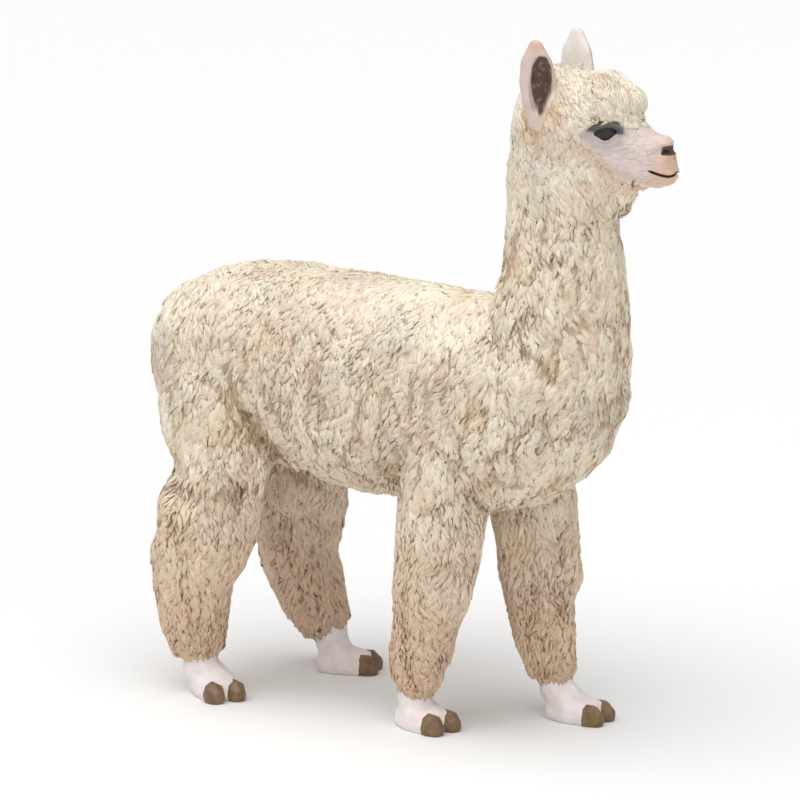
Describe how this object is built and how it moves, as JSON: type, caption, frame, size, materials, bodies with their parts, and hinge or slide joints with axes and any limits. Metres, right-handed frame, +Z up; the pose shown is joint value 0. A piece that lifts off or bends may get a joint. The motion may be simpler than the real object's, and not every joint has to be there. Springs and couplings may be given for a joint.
{
  "type": "toy alpaca figurine",
  "caption": "Hand-painted moulded alpaca figurine walking with its head turned slightly: sculpted curly fleece, bare face, pricked ears, bare feet with blunt nails.",
  "frame": {"origin": "middle of the bounding box on the floor plane, under the soles", "axes": "+Z up, +X the way the trunk points, +Y the animal's left"},
  "size_m": [0.0988, 0.0388, 0.1115],
  "materials": {
    "fleece": "matt cream paint over a darker wash, on PVC",
    "bare": "satin lilac-white paint on PVC",
    "eye": "gloss paint on PVC",
    "nail": "satin brown paint on PVC"
  },
  "bodies": {
    "root": {"trunk": "fleece", "neck": "fleece", "head": "fleece", "tail": "fleece", "leg_front_left": "fleece", "foot_front_left": "bare", "nail_front_left_1": "nail", "nail_front_left_2": "nail", "leg_front_right": "fleece", "foot_front_right": "bare", "nail_front_right_1": "nail", "nail_front_right_2": "nail", "leg_hind_left": "fleece", "foot_hind_left": "bare", "nail_hind_left_1": "nail", "nail_hind_left_2": "nail", "leg_hind_right": "fleece", "foot_hind_right": "bare", "nail_hind_right_1": "nail", "nail_hind_right_2": "nail", "ear_left": "bare", "eye_left": "eye", "ear_right": "bare", "eye_right": "eye"}
  },
  "joints": []
}
